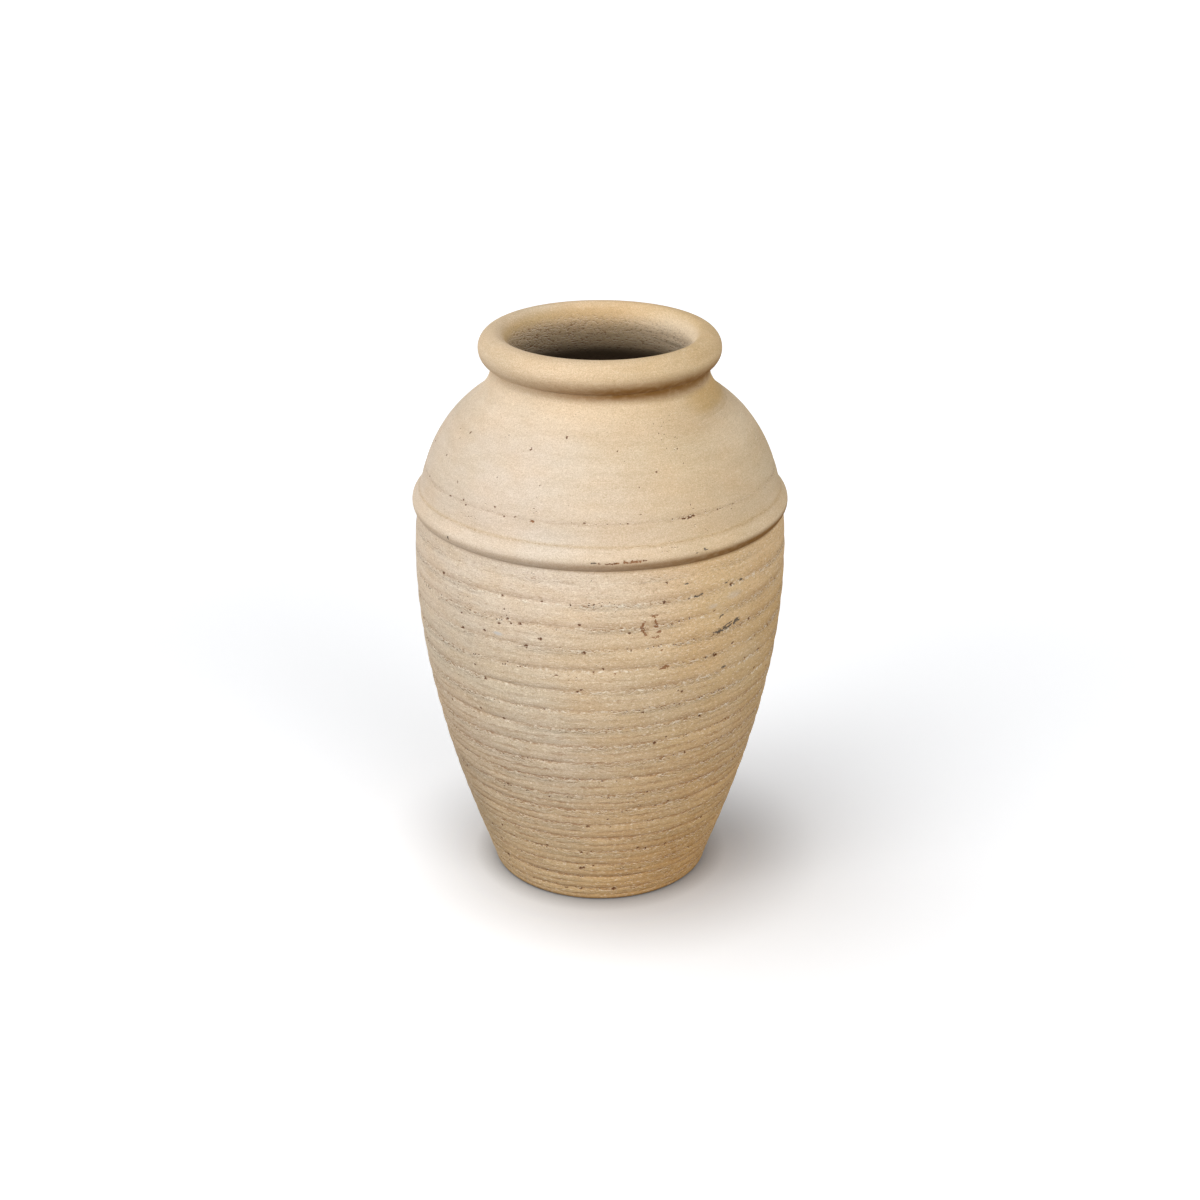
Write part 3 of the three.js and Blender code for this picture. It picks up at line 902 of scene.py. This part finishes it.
def pinholes(tree, look, pitted, above):
    # holes of many sizes, none of them quite round, as they are a little above each point
    raised = tree.add("VectorMath", {0: tree.place, 1: (0, 0, above)}).outputs[0]
    blur = tree.add("TexNoise", {"Vector": raised, "Scale": look["holes"] * look["holeBlur"]})
    sockets = {0: blur.outputs["Color"], 1: (look["holeWobble"],) * 3, 2: raised}
    wobbled = tree.add("VectorMath", sockets, operation="MULTIPLY_ADD").outputs[0]
    holes = tree.add("TexVoronoi", {"Vector": wobbled, "Scale": look["holes"]})
    chance = tree.add("SeparateColor", {0: holes.outputs["Color"]})
    widest = tree.times(pitted, look["holeSize"], tree.span(chance.outputs[0], "holeChance"))
    return tree.span(tree.number("SUBTRACT", holes.outputs["Distance"], widest), "holeEdge")


def pitTone(tree, look, tone):
    strewn = tree.span(tree.noise("strewn"), "strewn", 0.0, look["strewn"])
    pitted = tree.number("MAXIMUM", tree.mark("pitty"), strewn)
    pin = pinholes(tree, look, pitted, 0.0)
    pinHighlight = tree.times(pinholes(tree, look, pitted, look["holeHighlightDrop"]), tree.span(pin, "besideHole"))
    tone = tree.laid(tone, look["paleFleckAndHighlight"], pinHighlight, look["holeHighlight"])  # painted highlight on the edge under a hole
    pits = tree.number("MAXIMUM", speckled(tree, look, "pit"), pin)
    return tree.laid(tone, look["pit"], pits, look["pitShare"]), pin


def shadeTone(tree, look, tone):
    # painted shade in the creases, with dirt at the foot, and the painted shade of the throat and of the
    # lower left side
    tone = tree.laid(tone, look["creaseShadeAndDirt"], tree.mark("creaseShadeAndDirt"), tree.patches("creaseShadeNoise"))
    return tree.laid(tone, look["deep"], tree.mark("deep"))


def roughSkin(tree, look, line, lip, pin):
    # the same grain, lines and holes as relief
    torn = tree.times(tree.noise("crust"), tree.mark("torn"))
    parts = {"grainBump": tree.noise("grain"), "combBump": tree.noise("comb"), "tornBump": torn,
             "holeBump": pin, "lineBump": line, "lipBump": lip}
    skin = 0.0
    for key, part in parts.items():
        skin = tree.number("ADD", skin, tree.times(part, look[key]))
    return tree.add("Bump", {"Strength": 1.0, "Distance": mm, "Height": skin}).outputs[0]


def clayFinish(name, look):
    tree = ClayNodes(name)
    line, lip = ringLines(tree, look)
    tone = groundTone(tree, look)
    tone = wheelTone(tree, look, tone)
    tone = ringTone(tree, look, tone, line, lip)
    tone = crumbTone(tree, look, tone)
    tone = stainTone(tree, look, tone)
    tone, pin = pitTone(tree, look, tone)
    tone = shadeTone(tree, look, tone)
    smoothest, roughest = look["rough"] - look["roughSwing"], look["rough"] + look["roughSwing"]
    rough = tree.span(tree.noise("grain"), "veil", smoothest, roughest)
    skin = roughSkin(tree, look, line, lip, pin)
    shader = tree.clay.node_tree.nodes["Principled BSDF"].inputs
    for key, value in (("Base Color", tone), ("Normal", skin), ("Roughness", rough)):
        tree.clay.node_tree.links.new(value, shader[key])
    shader["Specular IOR Level"].default_value = look["gloss"]
    return tree.clay


ringedFinish = clayFinish("ringed clay", ringedClay)
smoothFinish = clayFinish("smooth clay", smoothClay)
print("clay finishes mixed")


def dress(piece, finish, slot, *nodes):
    piece.data.materials.append(finish)
    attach(piece, "root")
    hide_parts(*nodes)


floorDish = {
    "rounding": 3.0, "roundingSteps": 12, "thick": 11.0, "eye": 1.0, "flatRows": 3.0,  # eye: the middle face
    "cornerReach": 14.0, "wallPull": (2.0, 1.0), "floorPull": 5.0, "cornerSteps": 40, "cornerRows": 2.0,
    "around": 800, "rows": 0.8,
}


def makeFloor():
    rounding, thick = floorDish["rounding"], floorDish["thick"]
    edge = bodyAt(rounding)
    sweep = np.linspace(-math.pi / 2, 0, floorDish["roundingSteps"])
    turned = np.stack([np.cos(sweep), np.sin(sweep)], axis=1)
    foot = np.array([edge[0] - rounding, rounding]) + rounding * turned
    base = evenRows([(floorDish["eye"], 0.0), foot[0]], floorDish["flatRows"])[:-1]
    outer = np.vstack([foot, wallRows(rounding, bodyShape["floorSeam"], floorDish["rows"])[1:]])
    corner = bodyAt(bodyShape["floorSeam"], bodyShape["wall"])
    low = np.array([corner[0] - floorDish["cornerReach"], thick])
    wallPull = (corner[0] - floorDish["wallPull"][0], thick + floorDish["wallPull"][1])
    floorPull = (corner[0] - floorDish["floorPull"], thick)
    turnIn = bend(corner, wallPull, floorPull, low, floorDish["cornerSteps"])
    well = np.vstack([evenRows(turnIn, floorDish["cornerRows"])[:-1],
                      evenRows([low, (floorDish["eye"], thick)], floorDish["flatRows"])])
    stretches = [("base", base), ("out", outer),
                 ("seam", seamRows(bodyShape["floorSeam"], -bodyShape["hairline"])), ("in", well)]
    reliefs = {"out": wallRelief, "in": insideRelief}
    piece = turnPiece("clay_floor", stretches, floorDish["around"], reliefs, False)
    dress(piece, ringedFinish, "ringed_clay", "floor_dish", "slip_floor_seam")


def wallStretches(low, high, plan):
    # a section of the wall between two seams
    hair = bodyShape["hairline"]
    return [("out", wallRows(low, high, plan["rows"])), ("seam", seamRows(high, -hair)),
            ("in", wallRows(high, low, plan["insideRows"], bodyShape["wall"])),
            ("seam", seamRows(low, hair)[::-1])]


lowerWall = {"around": 800, "rows": 0.65, "insideRows": 5.0}


def makeLowerWall():
    stretches = wallStretches(bodyShape["floorSeam"], bodyShape["beltSeam"], lowerWall)
    reliefs = {"out": wallRelief, "in": insideRelief}
    piece = turnPiece("clay_lower_wall", stretches, lowerWall["around"], reliefs)
    dress(piece, ringedFinish, "ringed_clay", "lower_wall")


shoulderWall = {"around": 800, "rows": 0.8, "insideRows": 3.0}


def makeShoulder():
    stretches = wallStretches(bodyShape["beltSeam"], bodyShape["neckSeam"], shoulderWall)
    reliefs = {"out": shoulderRelief, "in": insideRelief}
    piece = turnPiece("clay_shoulder", stretches, shoulderWall["around"], reliefs)
    dress(piece, smoothFinish, "smooth_clay", "shoulder", "slip_belt_seam")


beltCoil = {
    "radius": 6.2, "standOut": 3.5, "roundFrom": -100.0, "roundTo": 35.0, "roundSteps": 200,
    "top": 264.0, "feather": 3.7, "featherSteps": 120, "sink": 0.05,
    "bed": 1.2, "bedMargin": 1.0, "bedRows": 1.5, "around": 900, "rows": 0.6,
}


def makeBelt():
    # a coil pressed on the wall, round below and smoothed out to nothing above
    middle = bodyAt(bodyShape["beltSeam"]) + np.array([beltCoil["standOut"] - beltCoil["radius"], 0.0])
    sweep = np.radians(np.linspace(beltCoil["roundFrom"], beltCoil["roundTo"], beltCoil["roundSteps"]))
    coil = middle + beltCoil["radius"] * np.stack([np.cos(sweep), np.sin(sweep)], axis=1)
    coil = coil[np.argmax(coil[:, 0] > bodyAt(coil[:, 1])[:, 0] - beltCoil["bed"]):]
    heights = np.linspace(coil[-1, 1], beltCoil["top"], beltCoil["featherSteps"])
    left = 1 - (heights - heights[0]) / (heights[-1] - heights[0])
    proud = coil[-1, 0] - bodyAt(heights[0])[0] + beltCoil["sink"]
    proud = proud * left ** beltCoil["feather"] - beltCoil["sink"]
    fillet = bodyAt(heights) + np.stack([proud, 0 * proud], axis=1)
    outer = evenRows(np.vstack([coil, fillet[1:]]), beltCoil["rows"])
    margin = beltCoil["bedMargin"]
    bed = wallRows(beltCoil["top"] - margin, coil[0, 1] + margin, beltCoil["bedRows"], beltCoil["bed"])
    piece = turnPiece("clay_belt", [("out", outer), ("seam", bed)], beltCoil["around"], {"out": beltRelief})
    dress(piece, smoothFinish, "smooth_clay", "belt_cordon", "slip_under_cordon")


rimRoll = {"radius": 10.0, "mouthReach": 7.3, "middle": (62.4, 340.0), "steps": 500,
           "around": 720, "rows": 0.6}
neckCollar = {
    "radius": 65.0, "flareReach": 6.0, "insideHeight": 335.0, "throatReach": 14.0,
    "saddleSteps": 40, "saddleRows": 1.2, "around": 720, "rows": 0.6,
}


def rimPoints(angles, grow=0.0):
    # section of the rolled rim: round outside, flatter towards the mouth; 0 is its outer side
    reach = np.where(np.cos(angles) < 0, rimRoll["mouthReach"], rimRoll["radius"]) + grow
    upright = rimRoll["radius"] + grow
    return np.array(rimRoll["middle"]) + np.stack([reach * np.cos(angles), upright * np.sin(angles)], axis=1)


def makeNeck():
    seam, hair = bodyShape["neckSeam"], bodyShape["hairline"]
    out = bodyNormal(seam)
    along = np.array([-out[1], out[0]])
    outerAngle = -math.acos((neckCollar["radius"] - rimRoll["middle"][0]) / rimRoll["radius"])
    innerAngle = math.asin((neckCollar["insideHeight"] - rimRoll["middle"][1]) / rimRoll["radius"])
    saddle = rimPoints(np.linspace(outerAngle, -math.pi - innerAngle, neckCollar["saddleSteps"]), hair)
    root, inside = bodyAt(seam), bodyAt(seam, bodyShape["wall"])
    flare = bend(root, root + neckCollar["flareReach"] * along,
                 (neckCollar["radius"], (root[1] + saddle[0, 1]) / 2), saddle[0])
    reach = np.array([rimRoll["mouthReach"], rimRoll["radius"]])
    onward = -reach * np.array([math.sin(innerAngle), math.cos(innerAngle)])
    onward = onward / np.linalg.norm(onward)  # the throat goes on as the rim's inner side ends
    throat = bend(saddle[-1], saddle[-1] + neckCollar["throatReach"] * onward,
                  inside + neckCollar["throatReach"] * along, inside)
    stretches = [("out", evenRows(flare, neckCollar["rows"])),
                 ("seam", evenRows(saddle, neckCollar["saddleRows"])[1:-1]),
                 ("in", evenRows(throat, neckCollar["rows"])), ("seam", seamRows(seam, hair)[::-1])]
    reliefs = {"out": neckRelief, "in": insideRelief}
    piece = turnPiece("clay_neck", stretches, neckCollar["around"], reliefs)
    dress(piece, smoothFinish, "smooth_clay", "neck_collar", "slip_neck_seam")


def makeRim():
    roll = rimPoints(np.linspace(-math.pi / 2, 1.5 * math.pi, rimRoll["steps"]))
    stretches = [("out", evenRows(roll, rimRoll["rows"])[:-1])]
    piece = turnPiece("clay_rim", stretches, rimRoll["around"], {"out": rimRelief})
    dress(piece, smoothFinish, "smooth_clay", "rim_roll", "slip_rim_seam")


makeFloor()
makeLowerWall()
makeShoulder()
makeBelt()
makeNeck()
makeRim()

white = (1.0, 1.0, 1.0, 1.0)
studio = {
    "cameraPlace": (0.0, -1.1841, 0.6969), "cameraTilt": 66.236, "lens": 62.25, "sensor": 36.0,
    "top": {"turn": -100.0, "rise": 63.0, "power": 1.15, "soft": 60.0},
    "left": {"turn": -50.0, "rise": 10.0, "power": 2.4, "soft": 50.0},
    "right": {"turn": 38.0, "rise": 10.0, "power": 2.5, "soft": 50.0},
    "ambient": 0.26, "floorSize": 40.0, "floorSeen": (1.23, 1.24, 1.26, 1.0), "floorBounce": 0.25,
    "contactShades": ((0.075, 0.6), (0.014, 0.5)),  # how far each reaches, and how strong it is
}


def setCamera():
    lens = bpy.data.cameras.new("photo camera")
    lens.lens = studio["lens"]
    lens.sensor_width = studio["sensor"]
    camera = bpy.data.objects.new("photo camera", lens)
    camera.location = studio["cameraPlace"]
    camera.rotation_euler = (math.radians(studio["cameraTilt"]), 0, 0)
    bpy.context.collection.objects.link(camera)
    bpy.context.scene.camera = camera
    bpy.context.scene.view_settings.view_transform = "Standard"


def seenRay(tree):
    # 1 for rays that show the background itself, 0 for those that only carry its light
    path = addNode(tree, "LightPath", {})
    most = path.outputs["Is Camera Ray"]
    for key in ("Is Glossy Ray", "Is Transmission Ray"):
        most = addNode(tree, "Math", {0: most, 1: path.outputs[key]}, operation="MAXIMUM").outputs[0]
    return most


def partBySight(tree, carried, seen, end):
    both = addNode(tree, "MixShader", {0: seenRay(tree), 1: carried.outputs[0], 2: seen.outputs[0]})
    tree.links.new(both.outputs[0], end.inputs["Surface"])


def contactShade(tree):
    # painted contact shadow: the paper's colour darkens by ambient occlusion where the foot stands on it
    colour = studio["floorSeen"]
    for reach, share in studio["contactShades"]:
        near = addNode(tree, "AmbientOcclusion", {"Color": colour, "Distance": reach})
        sockets = {0: share, 6: colour, 7: near.outputs["Color"]}
        colour = addNode(tree, "Mix", sockets, data_type="RGBA").outputs[2]
    return colour


def paperFinish():
    paper = bpy.data.materials.new("white paper")
    paper.use_nodes = True
    tree = paper.node_tree
    tree.nodes.clear()
    bounce = addNode(tree, "BsdfDiffuse", {"Color": (studio["floorBounce"],) * 3 + (1.0,)})
    seen = addNode(tree, "BsdfDiffuse", {"Color": contactShade(tree)})
    partBySight(tree, bounce, seen, addNode(tree, "OutputMaterial", {}))
    return paper


def makeFloorSheet():
    half = studio["floorSize"] / 2
    corners = [(-half, -half, 0), (half, -half, 0), (half, half, 0), (-half, half, 0)]
    mesh = bpy.data.meshes.new("floor sheet")
    mesh.from_pydata(corners, [], [(0, 1, 2, 3)])
    mesh.materials.append(paperFinish())
    sheet = bpy.data.objects.new("floor_sheet", mesh)
    bpy.context.collection.objects.link(sheet)


def setLamps():
    for name in ("top", "left", "right"):
        plan = studio[name]
        sun = bpy.data.lights.new(name + " softbox", "SUN")
        sun.energy = plan["power"]
        sun.angle = math.radians(plan["soft"])
        lamp = bpy.data.objects.new(name + " softbox", sun)
        lamp.rotation_euler = (math.radians(90 - plan["rise"]), 0, math.radians(plan["turn"]))
        bpy.context.collection.objects.link(lamp)


def setWorld():
    world = bpy.data.worlds.new("studio white")
    bpy.context.scene.world = world
    world.use_nodes = True
    tree = world.node_tree
    fill = tree.nodes["Background"]
    fill.inputs["Color"].default_value = white
    fill.inputs["Strength"].default_value = studio["ambient"]
    seen = addNode(tree, "Background", {"Color": white, "Strength": 1.0})
    partBySight(tree, fill, seen, tree.nodes["World Output"])


setCamera()
makeFloorSheet()
setLamps()
setWorld()
print("studio set")
